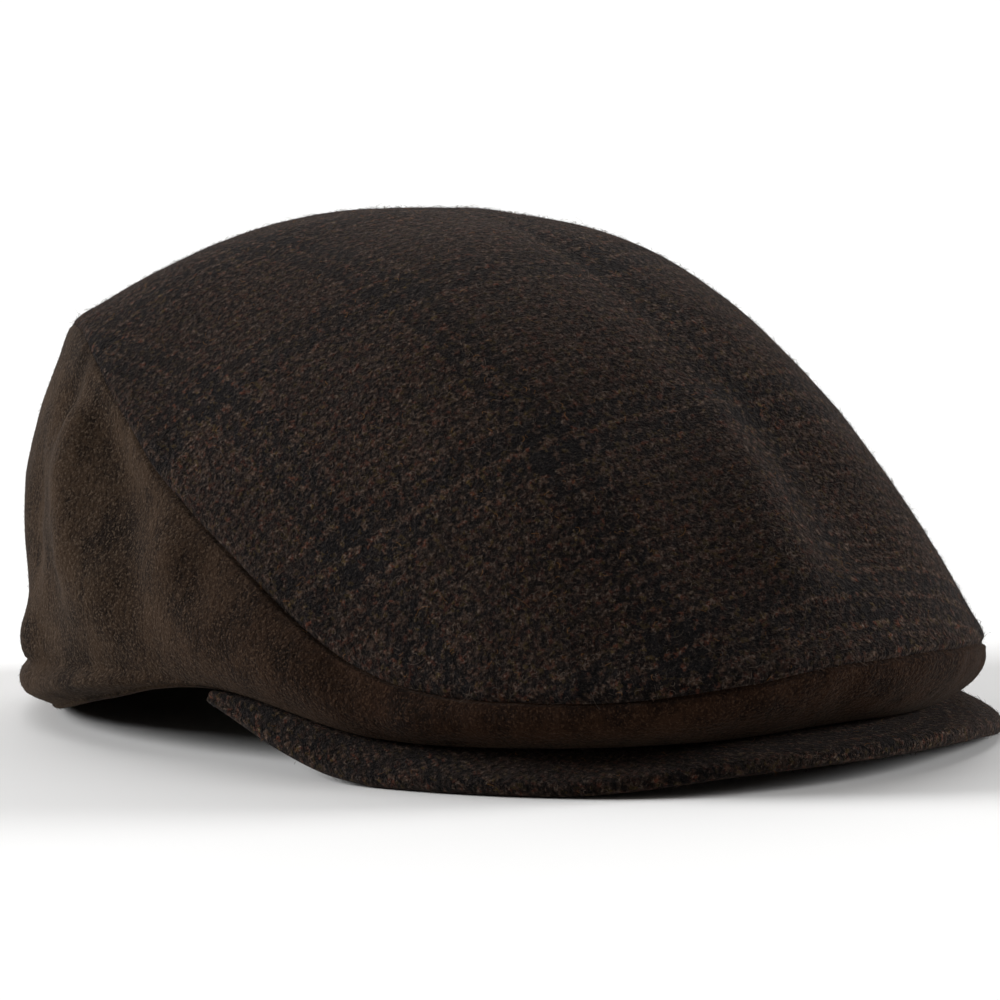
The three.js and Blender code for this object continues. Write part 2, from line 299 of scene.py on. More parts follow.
def seam_distances(points):
    """The distance of each point of a grid from its last row, along the panel."""
    steps = np.linalg.norm(np.diff(points, axis=1), axis=-1)
    from_start = np.concatenate([np.zeros((len(points), 1)), np.cumsum(steps, axis=1)], axis=1)
    return from_start[:, -1:] - from_start


def seam_mitre(sizes, angles):
    """The direction into the seam's groove at each angle, between the crown's wall and the band's."""
    share = np.array([0.97, 0.985, 1.0])
    angle_grid, share_grid = np.meshgrid(angles, share, indexing="ij")
    centre = head_centre(sizes)
    crown = grid_normals(crown_form(sizes, angle_grid, share_grid), centre)[:, -1]
    band = grid_normals(band_form(sizes, angle_grid, share_grid), centre)[:, -1]
    return -unit(crown + band)


def head_centre(sizes):
    return np.array([0, 0, sizes.crown_height / 3])


def origin_shift(sizes):
    """From the head's centre to the frame's origin, by the crown's place in the frame."""
    angles = np.arange(0, 360, 1.0)
    angle_grid, share_grid = np.meshgrid(angles, np.linspace(0, 1, 81), indexing="ij")
    crown = crown_form(sizes, angle_grid, share_grid)
    middle = (crown.min(axis=(0, 1)) + crown.max(axis=(0, 1))) / 2
    place = (CROWN_BOX[0] + CROWN_BOX[1]) / 2
    return np.array([place.x - middle[0], place.y - middle[1], 0])


def cloth_places(sizes, points):
    """Each point's place on the crown's flat cloth: across from the centre line, and forward."""
    share = np.linspace(0, 1, 300)
    front = crown_form(sizes, np.zeros(300), share)
    back = crown_form(sizes, np.full(300, 180.0), share)
    line = np.concatenate([back[::-1], front[1:]])[:, 1:]
    lengths = np.concatenate([[0], np.cumsum(np.linalg.norm(np.diff(line, axis=0), axis=1))])
    lengths -= lengths[len(share) - 1]
    flat = points.reshape(-1, 3)
    forward = np.empty(len(flat))
    depth = np.empty(len(flat))
    for start in range(0, len(flat), 4000):
        part = flat[start : start + 4000, 1:]
        gaps = np.linalg.norm(part[:, None] - line[None], axis=-1)
        nearest = gaps.argmin(axis=1)
        forward[start : start + 4000] = lengths[nearest]
        depth[start : start + 4000] = gaps[np.arange(len(part)), nearest]
    across = np.sign(flat[:, 0]) * np.sqrt(flat[:, 0] ** 2 + 4 / 3 * depth**2)
    return across, forward


def sheared_cloth(across, forward):
    """The weave's own coordinates: moulding over the head drags the cross yarns back at the sides."""
    drag_reach = 40 * MM
    drag_share = 0.75
    straight_from = 157 * MM
    fullest_at = 52 * MM
    narrows_from = 68 * MM
    narrows_over = 98 * MM
    narrowest = 0.125
    sweep = np.sqrt(across**2 + drag_reach**2) - drag_reach
    weft = forward.copy()
    for _ in range(12):
        ahead = np.clip((straight_from - weft) / (straight_from - fullest_at), 0, 1.05)
        weft = forward + drag_share * ahead**1.9 * sweep
    narrowing = np.clip((narrows_from - forward) / narrows_over, 0, 1.5)
    return across * (1 + narrowest * narrowing), weft


def smooth_steps(coarse, fine, turn):
    """Shares from 0 to 1 in even steps up to turn, and in finer ones from there on."""
    return np.concatenate([np.linspace(0.012, turn, coarse, endpoint=False), np.linspace(turn, 1, fine)])


def mesh_object(name, points, faces, uvs, materials, slots):
    """A mesh object of shared points, with a cloth UV map by point and a material by face."""
    mesh = bpy.data.meshes.new(name)
    mesh.from_pydata([tuple(point) for point in points], [], [tuple(face) for face in faces])
    layer = mesh.uv_layers.new(name="cloth")
    corners = np.empty(len(mesh.loops), dtype=np.int32)
    mesh.loops.foreach_get("vertex_index", corners)
    layer.data.foreach_set("uv", np.asarray(uvs, dtype=np.float32)[corners].ravel())
    for material in materials:
        mesh.materials.append(material)
    mesh.polygons.foreach_set("material_index", np.asarray(slots, dtype=np.int32))
    mesh.polygons.foreach_set("use_smooth", np.ones(len(mesh.polygons), dtype=bool))
    mesh.update()
    piece = bpy.data.objects.new(name, mesh)
    bpy.context.collection.objects.link(piece)
    return piece


def ring_faces(ring_count, around, loops):
    """Quads between rings of points. Rings follow each other, and loop back if loops is set."""
    faces = []
    spans = ring_count if loops else ring_count - 1
    for ring in range(spans):
        here = ring * around
        there = ((ring + 1) % ring_count) * around
        for step in range(around):
            onward = (step + 1) % around
            faces.append((here + step, here + onward, there + onward, there + step))
    return faces


def faces_outward(points, faces):
    """The same faces, all turned over if they enclose a negative volume."""
    volume = 0.0
    for face in faces:
        first = points[face[0]]
        for second, third in zip(face[1:-1], face[2:]):
            volume += np.dot(first, np.cross(points[second], points[third]))
    return faces if volume > 0 else [tuple(reversed(face)) for face in faces]


# Materials


class NodeBench:
    """Short calls that add nodes to one material's tree."""

    def __init__(self, material):
        self.tree = material.node_tree
        self.nodes = self.tree.nodes
        self.nodes.clear()

    def add(self, kind, values=None, **settings):
        node = self.nodes.new(kind)
        for name, value in settings.items():
            setattr(node, name, value)
        for name, value in (values or {}).items():
            self.feed(node.inputs[name], value)
        return node

    def feed(self, socket, value):
        if isinstance(value, bpy.types.NodeSocket):
            self.tree.links.new(value, socket)
        else:
            socket.default_value = value

    def math(self, operation, first, second=0.0, third=0.0):
        return self.add("ShaderNodeMath", {0: first, 1: second, 2: third}, operation=operation).outputs[0]

    def vector_math(self, operation, values):
        return self.add("ShaderNodeVectorMath", values, operation=operation).outputs[0]

    def mix_of_kind(self, kind, factor, first, second, blend):
        values = {"Factor": factor, "A": first, "B": second}
        return self.add("ShaderNodeMix", values, data_type=kind, blend_type=blend).outputs["Result"]

    def mix(self, factor, first, second, blend="MIX"):
        return self.mix_of_kind("RGBA", factor, first, second, blend)

    def noise(self, vector, scale, detail=2.0, roughness=0.5):
        values = {"Vector": vector, "Scale": scale, "Detail": detail, "Roughness": roughness}
        return self.add("ShaderNodeTexNoise", values).outputs["Fac"]

    def blend(self, factor, first, second):
        return self.mix_of_kind("FLOAT", factor, first, second, "MIX")

    def limit(self, value):
        return self.add("ShaderNodeClamp", {"Value": value}).outputs[0]

    def ramp(self, value, low, high):
        values = {"Value": value, "From Min": low, "From Max": high}
        return self.add("ShaderNodeMapRange", values, clamp=True).outputs["Result"]

    def surface(self, values):
        shader = self.add("ShaderNodeBsdfPrincipled", values)
        self.add("ShaderNodeOutputMaterial", {"Surface": shader.outputs[0]})


def colour(values):
    return (*values, 1.0)


def new_material(name):
    material = bpy.data.materials.new(name)
    material.use_nodes = True
    return material, NodeBench(material)


def checked_yarns(bench, place, pitch):
    """The yarn's number, 1 where it is light, and 1 inside the check's broad dark bars."""
    yarn = bench.math("FLOOR", bench.math("DIVIDE", place, pitch))
    in_repeat = bench.math("FLOORED_MODULO", yarn, CHECK_REPEAT)
    fine = bench.math("GREATER_THAN", bench.math("FLOORED_MODULO", yarn, 4.0), 1.5)
    softened = bench.math("MULTIPLY_ADD", fine, 0.42, 0.2)
    in_eight = bench.math("FLOORED_MODULO", bench.math("ADD", in_repeat, 8.0), 8.0)
    barred = bench.math("GREATER_THAN", in_eight, 5.5)
    in_bars = bench.math("COMPARE", in_repeat, 7.5, 8.1)
    framing = bench.math("GREATER_THAN", in_repeat, 57.5)
    lines = bench.math("MAXIMUM", bench.blend(in_bars, softened, barred), framing)
    return yarn, lines, in_bars


def check_nodes(bench, place, finish, loose):
    """The check at a place on the cloth. Loose is how far, in metres, the yarns wander."""
    uneven = {"Vector": place, "Scale": 700.0, "Detail": 4.0, "Roughness": 0.7}
    wobble = bench.add("ShaderNodeTexNoise", uneven)
    middle = (0.5, 0.5, 0.5)
    centred = bench.vector_math("SUBTRACT", {0: wobble.outputs["Color"], 1: middle})
    small = bench.vector_math("SCALE", {0: centred, "Scale": loose})
    moved = bench.vector_math("ADD", {0: place, 1: small})
    parts = bench.add("ShaderNodeSeparateXYZ", {0: moved})
    warp, warp_light, warp_bars = checked_yarns(bench, parts.outputs["X"], finish.warp_pitch)
    weft, weft_light, weft_bars = checked_yarns(bench, parts.outputs["Y"], finish.weft_pitch)
    diagonal = bench.math("FLOORED_MODULO", bench.math("ADD", warp, weft), 4.0)
    warp_on_top = bench.math("LESS_THAN", diagonal, 1.5)
    light = bench.blend(warp_on_top, weft_light, warp_light)
    bars = bench.math("MULTIPLY", bench.math("ADD", warp_bars, weft_bars), 0.5)
    return parts, warp, weft, warp_on_top, light, bars


def tweed_material(name, finish):
    """Checked wool: a twill of slate, brown, tan, rust and gold yarns on the piece's cloth map."""
    material, bench = new_material(name)
    place = bench.add("ShaderNodeUVMap", uv_map="cloth").outputs["UV"]
    parts, warp, weft, warp_on_top, light, bars = check_nodes(bench, place, finish, 0.0032)

    crossing = bench.add("ShaderNodeCombineXYZ", {"X": warp, "Y": weft, "Z": warp_on_top}).outputs[0]
    white = bench.add("ShaderNodeTexWhiteNoise", {"Vector": crossing}, noise_dimensions="3D")
    chance = white.outputs["Value"]
    place = bench.add("ShaderNodeTexCoord").outputs["Object"]
    heather = bench.noise(place, 900.0, 3.0, 0.6)
    patches = bench.noise(place, 230.0, 4.0, 0.7)
    specks = bench.noise(place, 1500.0, 1.0, 0.5)
    clouds = bench.noise(place, 45.0, 3.0, 0.6)

    brownness = bench.math("SUBTRACT", bench.ramp(patches, 0.4, 0.6), bench.math("MULTIPLY", bars, 0.6))
    ground = bench.mix(bench.limit(brownness), colour(finish.tweed_slate), colour(finish.tweed_brown))
    pale = bench.mix(bench.ramp(chance, 0.55, 0.7), colour(finish.tweed_tan), colour(finish.tweed_rust))
    pale = bench.mix(bench.ramp(chance, 0.86, 0.9), pale, colour(finish.tweed_gold))
    woven = bench.math("MULTIPLY_ADD", light, 0.85, bench.math("MULTIPLY", patches, 0.12))
    felted = bench.math("MULTIPLY_ADD", bench.ramp(heather, 0.42, 0.6), 0.7, 0.3)
    strength = bench.math("MULTIPLY", woven, felted)
    stray = bench.math("MULTIPLY", bench.ramp(chance, 0.9, 0.96), 0.5)
    cloth = bench.mix(bench.limit(bench.math("MAXIMUM", strength, stray)), ground, pale)
    lint_share = bench.math("MULTIPLY_ADD", light, 0.6, 0.25)
    lint = bench.math("MULTIPLY", bench.ramp(specks, 0.58, 0.68), lint_share)
    cloth = bench.mix(lint, cloth, colour(finish.tweed_lint))
    # Painted shade: darker where the heather bump is low, in the cloth's hollows; the clouds add an uneven
    # tone of the wool's own
    hollow_shade = bench.math("MULTIPLY_ADD", bench.ramp(heather, 0.38, 0.6), 0.85, 0.2)
    shade_and_tone = bench.math("MULTIPLY", hollow_shade, bench.math("MULTIPLY_ADD", clouds, 0.8, 0.6))
    grey = bench.add("ShaderNodeCombineColor", {"Red": shade_and_tone, "Green": shade_and_tone, "Blue": shade_and_tone})
    cloth = bench.mix(1.0, cloth, grey.outputs[0], blend="MULTIPLY")

    across = bench.math("FRACT", bench.math("DIVIDE", parts.outputs["X"], finish.warp_pitch))
    along = bench.math("FRACT", bench.math("DIVIDE", parts.outputs["Y"], finish.weft_pitch))
    warp_round = bench.math("SINE", bench.math("MULTIPLY", across, math.pi))
    weft_round = bench.math("SINE", bench.math("MULTIPLY", along, math.pi))
    rounded = bench.blend(warp_on_top, weft_round, warp_round)
    height = bench.math("MULTIPLY_ADD", heather, 3.0, bench.math("MULTIPLY", rounded, 0.5))
    bump = bench.add("ShaderNodeBump", {"Height": height, "Strength": 1.0, "Distance": 0.0004})
    bench.surface(
        {
            "Base Color": cloth,
            "Roughness": 0.95,
            "Normal": bump.outputs[0],
            "Specular IOR Level": 0.08,
            "Sheen Weight": 0.08,
            "Sheen Roughness": 0.35,
            "Sheen Tint": (0.60, 0.47, 0.42, 1.0),
        },
    )
    return material


def painted_front_shade(bench, brown, finish):
    """Painted shade: darkens the suede towards the front of the cap."""
    place = bench.add("ShaderNodeTexCoord").outputs["Object"]
    apart = bench.add("ShaderNodeSeparateXYZ", {"Vector": place})
    front = bench.ramp(apart.outputs["Y"], 0.03, -0.06)
    return bench.mix(front, brown, colour(finish.suede_front_shade), blend="MULTIPLY")


def suede_material(name, finish):
    """Brushed suede: a mottled brown nap that lies this way and that."""
    material, bench = new_material(name)
    place = bench.add("ShaderNodeTexCoord").outputs["Object"]
    blotches = bench.noise(place, 55.0, 4.0, 0.65)
    brushed = bench.add("ShaderNodeMapping", {"Vector": place, "Scale": (1.0, 1.0, 0.4)}).outputs[0]
    streaks = bench.noise(brushed, 210.0, 4.0, 0.7)
    grain = bench.noise(place, 1000.0, 3.0, 0.65)
    tips = bench.noise(place, 1700.0, 1.0, 0.5)
    nap = bench.math("ADD", bench.math("MULTIPLY", blotches, 0.4), bench.math("MULTIPLY", streaks, 0.3))
    nap = bench.math("MULTIPLY_ADD", grain, 0.3, nap)
    brown = bench.mix(bench.ramp(nap, 0.43, 0.56), colour(finish.suede_dark), colour(finish.suede_brown))
    pale = bench.math("MULTIPLY", bench.ramp(tips, 0.55, 0.68), 0.7)
    brown = bench.mix(pale, brown, colour(finish.suede_pale))
    # Painted shade towards the front of the band
    brown = painted_front_shade(bench, brown, finish)
    height = bench.math("MULTIPLY_ADD", grain, 1.6, bench.math("MULTIPLY", streaks, 0.8))
    bump = bench.add("ShaderNodeBump", {"Height": height, "Strength": 1.0, "Distance": 0.0005})
    bench.surface(
        {
            "Base Color": brown,
            "Roughness": 0.95,
            "Normal": bump.outputs[0],
            "Specular IOR Level": 0.08,
            "Sheen Weight": 0.07,
            "Sheen Roughness": 0.35,
            "Sheen Tint": (0.55, 0.43, 0.34, 1.0),
        },
    )
    return material


def inside_material(name):
    """The plain brown back of the cloth, inside the cap."""
    material, bench = new_material(name)
    place = bench.add("ShaderNodeTexCoord").outputs["Object"]
    threads = bench.noise(place, 1400.0, 3.0, 0.6)
    dark = (0.022, 0.016, 0.012, 1.0)
    brown = bench.mix(bench.ramp(threads, 0.3, 0.7), dark, (0.04, 0.03, 0.022, 1.0))
    bump = bench.add("ShaderNodeBump", {"Height": threads, "Strength": 0.5, "Distance": 0.0003})
    bench.surface(
        {"Base Color": brown, "Roughness": 0.95, "Normal": bump.outputs[0], "Specular IOR Level": 0.1}
    )
    return material


def fibre_material(name, colours, finish, checked):
    """Loose fibres, most of them dark, some pale and a few warm, that follow the cloth under them."""
    dark, pale, warm = colours
    material, bench = new_material(name)
    chance = bench.add("ShaderNodeAttribute", attribute_name="tint").outputs["Fac"]
    paler = chance
    if checked:
        place = bench.add("ShaderNodeAttribute", attribute_name="cloth").outputs["Vector"]
        light = check_nodes(bench, place, finish, 0.0015)[4]
        paler = bench.math("MULTIPLY_ADD", light, 0.42, bench.math("SUBTRACT", chance, 0.24))
    tint = bench.mix(bench.ramp(paler, 0.4, 0.85), colour(dark), colour(pale))
    tint = bench.mix(bench.ramp(chance, 0.95, 0.96), tint, colour(warm))
    # Painted shade towards the front, on the suede's nap only
    if not checked:
        tint = painted_front_shade(bench, tint, finish)
    bench.surface({"Base Color": tint, "Roughness": 0.75, "Specular IOR Level": 0.15})
    return material


# Pieces


def rolled_edge(angles, points, normals, mitre, sizes, plump):
    """Rolls a panel's seam edge into the groove, less at the back, and plumps it just before."""
    groove_width = 0.75 * MM
    plump_place = 4 * MM
    plump_width = 2.6 * MM
    shallows_from = 62
    shallows_over = 30
    distance = seam_distances(points)[..., None]
    turn = np.abs((angles + 180) % 360 - 180)
    shallower = 0.62 * np.clip((turn - shallows_from) / shallows_over, 0, 1)
    depth = sizes.seam_groove * (1 - shallower)[:, None, None]
    into_groove = depth * np.exp(-((distance / groove_width) ** 2))
    swell = plump * np.exp(-(((distance - plump_place) / plump_width) ** 2))
    return points + mitre[:, None, :] * into_groove + normals * swell


def seam_puckers(angle, points, depth, seed):
    """Small puckers that run out from the seam, uneven in size and spacing."""
    distance = seam_distances(points)
    along = np.array([noise.noise(Vector((seed, value / 3.1, 0))) for value in angle[:, 0]])
    return depth * along[:, None] * np.exp(-((distance / (14 * MM)) ** 2))


class FLATCAP_OT_crown(bpy.types.Operator):
    """Makes the crown: one panel of checked tweed over the top of the head"""

    bl_idname = "flatcap.crown"
    bl_label = "Make Crown"

    def execute(self, context):
        sizes = context.scene.flat_cap_sizes
        finish = context.scene.flat_cap_finish
        angles = np.arange(0, 360, 1.0)
        shares = smooth_steps(60, 40, 0.9)
        angle, share = np.meshgrid(angles, shares, indexing="ij")
        centre = head_centre(sizes)
        form = crown_form(sizes, angle, share)
        normals = grid_normals(form, centre)
        fade = np.minimum(1, 8 * (1 - share))
        press = fold_depths(form, crown_form, sizes, CROWN_FOLDS) * fade
        press += unevenness(form, 45 * MM, 0.7 * MM, 11) * fade
        press += seam_puckers(angle, form, 0.5 * MM, 3)
        points = form - normals * press[..., None]
        normals = grid_normals(points, centre)
        mitre = seam_mitre(sizes, angles)
        outer = rolled_edge(angles, points, normals, mitre, sizes, 0.3 * MM)
        tip = outer[:, -1] + mitre * 3 * MM
        inner_rows = list(range(0, 84, 4))
        inner = (points - normals * sizes.tweed_wall)[:, inner_rows]
        rings = [outer[:, row] for row in range(len(shares))] + [tip]
        rings += [inner[:, row] for row in reversed(range(len(inner_rows)))]
        around = len(angles)
        all_points = np.concatenate(rings + [outer[:, 0].mean(axis=0)[None], inner[:, 0].mean(axis=0)[None]])
        faces = ring_faces(len(rings), around, loops=False)
        outer_count = len(shares) * around
        slots = [0] * outer_count + [1] * (len(faces) - outer_count)
        last = (len(rings) - 1) * around
        outer_peak = len(rings) * around
        faces += [(outer_peak, (step + 1) % around, step) for step in range(around)]
        faces += [(outer_peak + 1, last + step, last + (step + 1) % around) for step in range(around)]
        slots += [0] * around + [1] * around
        across, forward = cloth_places(sizes, all_points)
        cloth = np.stack(sheared_cloth(across, forward), axis=-1) + np.array(CHECK_PLACE) * MM
        all_points = all_points + origin_shift(sizes)
        faces = faces_outward(all_points, faces)
        tweed = tweed_material("checked tweed", finish)
        lining = inside_material("tweed inside")
        piece = mesh_object("tweed_crown", all_points, faces, cloth, [tweed, lining], slots)
        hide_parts("crown_panel")
        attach(piece, "root")
        return {"FINISHED"}


class FLATCAP_OT_band(bpy.types.Operator):
    """Makes the suede band round the sides and back, and across the front over the visor"""

    bl_idname = "flatcap.band"
    bl_label = "Make Band"

    def execute(self, context):
        sizes = context.scene.flat_cap_sizes
        finish = context.scene.flat_cap_finish
        angles = np.arange(0, 360, 1.0)
        shares = np.concatenate([np.linspace(0.03, 0.9, 58, endpoint=False), np.linspace(0.9, 1, 22)])
        angle, share = np.meshgrid(angles, shares, indexing="ij")
        centre = head_centre(sizes)
        form = band_form(sizes, angle, share)
        normals = grid_normals(form, centre)
        fade = np.minimum(1, np.minimum(10 * share, 8 * (1 - share)))
        press = fold_depths(form, band_form, sizes, BAND_FOLDS) * fade
        press += unevenness(form, 28 * MM, 0.9 * MM, 5) * fade
        press += seam_puckers(angle, form, 0.5 * MM, 8)
        points = form - normals * press[..., None]
        normals = grid_normals(points, centre)
        mitre = seam_mitre(sizes, angles)
        outer = rolled_edge(angles, points, normals, mitre, sizes, 0.1 * MM)
        tip = outer[:, -1] + mitre * 3 * MM
        inner_rows = list(range(0, 76, 4))
        inner = (points - normals * sizes.suede_wall)[:, inner_rows]
        hem = hem_points(sizes, angles)
        out = unit(radial(sizes, angles))
        half = sizes.suede_wall / 2
        hem_rings = []
        for turn in np.radians(np.linspace(180, 0, 7)):
            up = np.array([0, 0, half * (1 - math.sin(turn))])
            hem_rings.append(hem - out * half * (1 - math.cos(turn)) + up)
        rings = hem_rings + [outer[:, row] for row in range(len(shares))] + [tip]
        rings += [inner[:, row] for row in reversed(range(len(inner_rows)))]
        around = len(angles)
        all_points = np.concatenate(rings)
        faces = ring_faces(len(rings), around, loops=True)
        outer_count = (len(hem_rings) + len(shares)) * around
        slots = [0] * outer_count + [1] * (len(faces) - outer_count)
        cloth = np.stack([all_points[:, 0], all_points[:, 2]], axis=-1)
        all_points = all_points + origin_shift(sizes)
        faces = faces_outward(all_points, faces)
        suede = suede_material("brushed suede", finish)
        lining = inside_material("suede inside")
        piece = mesh_object("suede_band", all_points, faces, cloth, [suede, lining], slots)
        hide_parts("side_band")
        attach(piece, "root")
        return {"FINISHED"}


def visor_section(sizes, angle):
    """A closed section of the visor at one angle: level under the hem, with rounded edges."""
    ledge = 1 * MM
    at = np.array([float(angle)])
    out = unit(radial(sizes, at))[0]
    hem = hem_points(sizes, at)[0]
    tuck = column(VISOR, "tuck", at)[0] * sizes.visor_tuck
    reach = column(VISOR, "reach", at)[0] * sizes.visor_reach
    inner = hem - out * (sizes.suede_wall + tuck)
    edge = hem + out * (ledge + reach)
    inner[2] = column(VISOR, "inner_height", at)[0] * sizes.crown_height - sizes.visor_thickness
    edge[2] = max(0.0, column(VISOR, "edge_height", at)[0]) * sizes.crown_height
    seat_in = hem - out * (sizes.suede_wall + ledge)
    seat_out = hem + out * ledge / 2
    below = 0.3 * MM + sizes.visor_thickness
    seat_in[2] -= below
    seat_out[2] -= below
    between = (seat_out + edge) / 2
    rounding = 0.3 * sizes.visor_thickness
    up = np.array([0, 0, sizes.visor_thickness])
    lower = [inner + out * rounding, seat_in, seat_out, between, edge - out * rounding]
    upper = [point + up for point in reversed(lower)]
    corners = [inner + up * 0.25, *lower, edge + up * 0.25, edge + up * 0.75, *upper, inner + up * 0.75]
    loop = np.array(corners)
    for _ in range(2):  # rounds the corners
        onward = np.roll(loop, -1, axis=0)
        loop = np.stack([0.75 * loop + 0.25 * onward, 0.25 * loop + 0.75 * onward], axis=1).reshape(-1, 3)
    return loop


def visor_cloth(rings):
    """The visor's cloth map: straight weave, carried over the edge by the length along each section."""
    places = []
    for ring in rings:
        middle = ring.mean(axis=0)
        out = unit((middle * (1, 1, 0))[None])[0]
        steps = np.linalg.norm(np.diff(ring, axis=0), axis=1)
        length = np.concatenate([[0], np.cumsum(steps)])
        start = ring[0] * (1, 1, 0)
        places.append(start + out * length[:, None])
    flat = np.concatenate(places)
    ends = np.stack([rings[0].mean(axis=0), rings[-1].mean(axis=0)])
    flat = np.concatenate([flat, ends])
    return np.stack([flat[:, 0], -flat[:, 1]], axis=-1) + np.array(CHECK_PLACE) * MM


class FLATCAP_OT_visor(bpy.types.Operator):
    """Makes the visor: a stiff crescent covered in the crown's tweed"""

    bl_idname = "flatcap.visor"
    bl_label = "Make Visor"

    def execute(self, context):
        sizes = context.scene.flat_cap_sizes
        finish = context.scene.flat_cap_finish
        angles = np.linspace(-VISOR_HALF_ANGLE, VISOR_HALF_ANGLE, 161)
        sections = []
        for angle in angles:
            section = visor_section(sizes, angle)
            past = (abs(angle) - VISOR_THINS_FROM) / (VISOR_HALF_ANGLE - VISOR_THINS_FROM)
            thin = 1 - 0.6 * max(0, past) ** 1.5
            top = section[:, 2].max()
            section[:, 2] = top - (top - section[:, 2]) * thin
            sections.append(section)
        onward = sections[-1] - sections[-2]
        backward = sections[0] - sections[1]
        rings = list(sections)
        for turn in np.radians([30, 55, 75, 88]):
            for at_end, way in ((True, onward), (False, backward)):
                section = sections[-1] if at_end else sections[0]
                middle = section.mean(axis=0)
                step = unit(way.mean(axis=0)[None])[0] * 2.2 * MM * math.sin(turn)
                shrunk = middle + (section - middle) * math.cos(turn) + step
                rings = rings + [shrunk] if at_end else [shrunk] + rings
        around = len(rings[0])
        all_points = np.concatenate(rings + [rings[0].mean(axis=0)[None], rings[-1].mean(axis=0)[None]])
        faces = ring_faces(len(rings), around, loops=False)
        first_end = len(rings) * around
        last = (len(rings) - 1) * around
        for step in range(around):
            onward_step = (step + 1) % around
            faces.append((first_end, onward_step, step))
            faces.append((first_end + 1, last + step, last + onward_step))
        slots = [0] * len(faces)
        cloth = visor_cloth(rings)
        all_points = all_points + origin_shift(sizes)
        faces = faces_outward(all_points, faces)
        tweed = tweed_material("visor tweed", finish)
        piece = mesh_object("tweed_visor", all_points, faces, cloth, [tweed], slots)
        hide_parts("visor")
        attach(piece, "root")
        return {"FINISHED"}


def fibre_tree():
    """Nodes that scatter short bent fibres over the outer faces of a piece."""
    tree = bpy.data.node_groups.new("loose fibres", "GeometryNodeTree")
    inputs = (
        ("Geometry", "NodeSocketGeometry"),
        ("Density", "NodeSocketFloat"),
        ("Shortest", "NodeSocketFloat"),
        ("Longest", "NodeSocketFloat"),
        ("Rise", "NodeSocketFloat"),
        ("Radius", "NodeSocketFloat"),
        ("Seed", "NodeSocketInt"),
        ("Material", "NodeSocketMaterial"),
    )
    for name, kind in inputs:
        tree.interface.new_socket(name, in_out="INPUT", socket_type=kind)
    tree.interface.new_socket("Geometry", in_out="OUTPUT", socket_type="NodeSocketGeometry")

    def node(kind, values=None, **settings):
        made = tree.nodes.new(kind)
        for name, value in settings.items():
            setattr(made, name, value)
        for name, value in (values or {}).items():
            socket = made.inputs[name]
            if isinstance(value, bpy.types.NodeSocket):
                tree.links.new(value, socket)
            else:
                socket.default_value = value
        return made

    given = node("NodeGroupInput").outputs
    finish_index = node("GeometryNodeInputMaterialIndex").outputs[0]
    outside = node("FunctionNodeCompare", {2: finish_index, 3: 0}, data_type="INT", operation="EQUAL")
    points = node(
        "GeometryNodeDistributePointsOnFaces",
        {
            "Mesh": given["Geometry"],
            "Selection": outside.outputs[0],
            "Density": given["Density"],
            "Seed": given["Seed"],
        },
    )
    relative = node("ShaderNodeMath", {0: given["Radius"], 1: given["Longest"]}, operation="DIVIDE")
    ring = node("GeometryNodeCurvePrimitiveCircle", {"Resolution": 3, "Radius": relative.outputs[0]})
    shapes = node("GeometryNodeJoinGeometry")
    bends = (
        ((0.55, 0.35, 0.25), (0.85, -0.1, 0.5)),
        ((0.45, -0.5, 0.45), (0.6, 0.25, 0.8)),
        ((0.65, 0.1, 0.1), (0.95, 0.35, 0.3)),
        ((0.2, 0.6, 0.5), (0.75, 0.45, 0.35)),
    )
    for middle, end in bends:
        line = node(
            "GeometryNodeCurveQuadraticBezier",
            {"Resolution": 2, "Start": (0.0, 0.0, -0.02), "Middle": middle, "End": end},
        )
        tube = node(
            "GeometryNodeCurveToMesh",
            {"Curve": line.outputs[0], "Profile Curve": ring.outputs[0], "Fill Caps": True},
        )
        single = node("GeometryNodeGeometryToInstance", {0: tube.outputs[0]})
        tree.links.new(single.outputs[0], shapes.inputs[0])

    turn = node("FunctionNodeRandomValue", {2: 0.0, 3: math.tau, "Seed": 4}, data_type="FLOAT")
    spin = node("ShaderNodeCombineXYZ", {"Z": turn.outputs[1]})
    spin_rotation = node("FunctionNodeEulerToRotation", {0: spin.outputs[0]})
    rotation = node(
        "FunctionNodeRotateRotation",
        {0: points.outputs["Rotation"], 1: spin_rotation.outputs[0]},
        rotation_space="LOCAL",
    )
    length = node(
        "FunctionNodeRandomValue", {2: given["Shortest"], 3: given["Longest"], "Seed": 9}, data_type="FLOAT"
    ).outputs[1]
    rise = node("ShaderNodeMath", {0: length, 1: given["Rise"]}, operation="MULTIPLY")
    scale = node("ShaderNodeCombineXYZ", {"X": length, "Y": length, "Z": rise.outputs[0]})
    chosen = node("FunctionNodeRandomValue", {4: 0, 5: len(bends) - 1, "Seed": 17}, data_type="INT")
    placed = node(
        "GeometryNodeInstanceOnPoints",
        {
            "Points": points.outputs["Points"],
            "Instance": shapes.outputs[0],
            "Pick Instance": True,
            "Instance Index": chosen.outputs[2],
            "Rotation": rotation.outputs[0],
            "Scale": scale.outputs[0],
        },
    )
    tint = node("FunctionNodeRandomValue", {2: 0.0, 3: 1.0, "Seed": 23}, data_type="FLOAT")
    tinted = node(
        "GeometryNodeStoreNamedAttribute",
        {"Geometry": placed.outputs[0], "Name": "tint", "Value": tint.outputs[1]},
        data_type="FLOAT",
        domain="INSTANCE",
    )
    real = node("GeometryNodeRealizeInstances", {0: tinted.outputs[0]})
    finished = node("GeometryNodeSetMaterial", {"Geometry": real.outputs[0], "Material": given["Material"]})
    node("NodeGroupOutput", {0: finished.outputs[0]})
    return tree


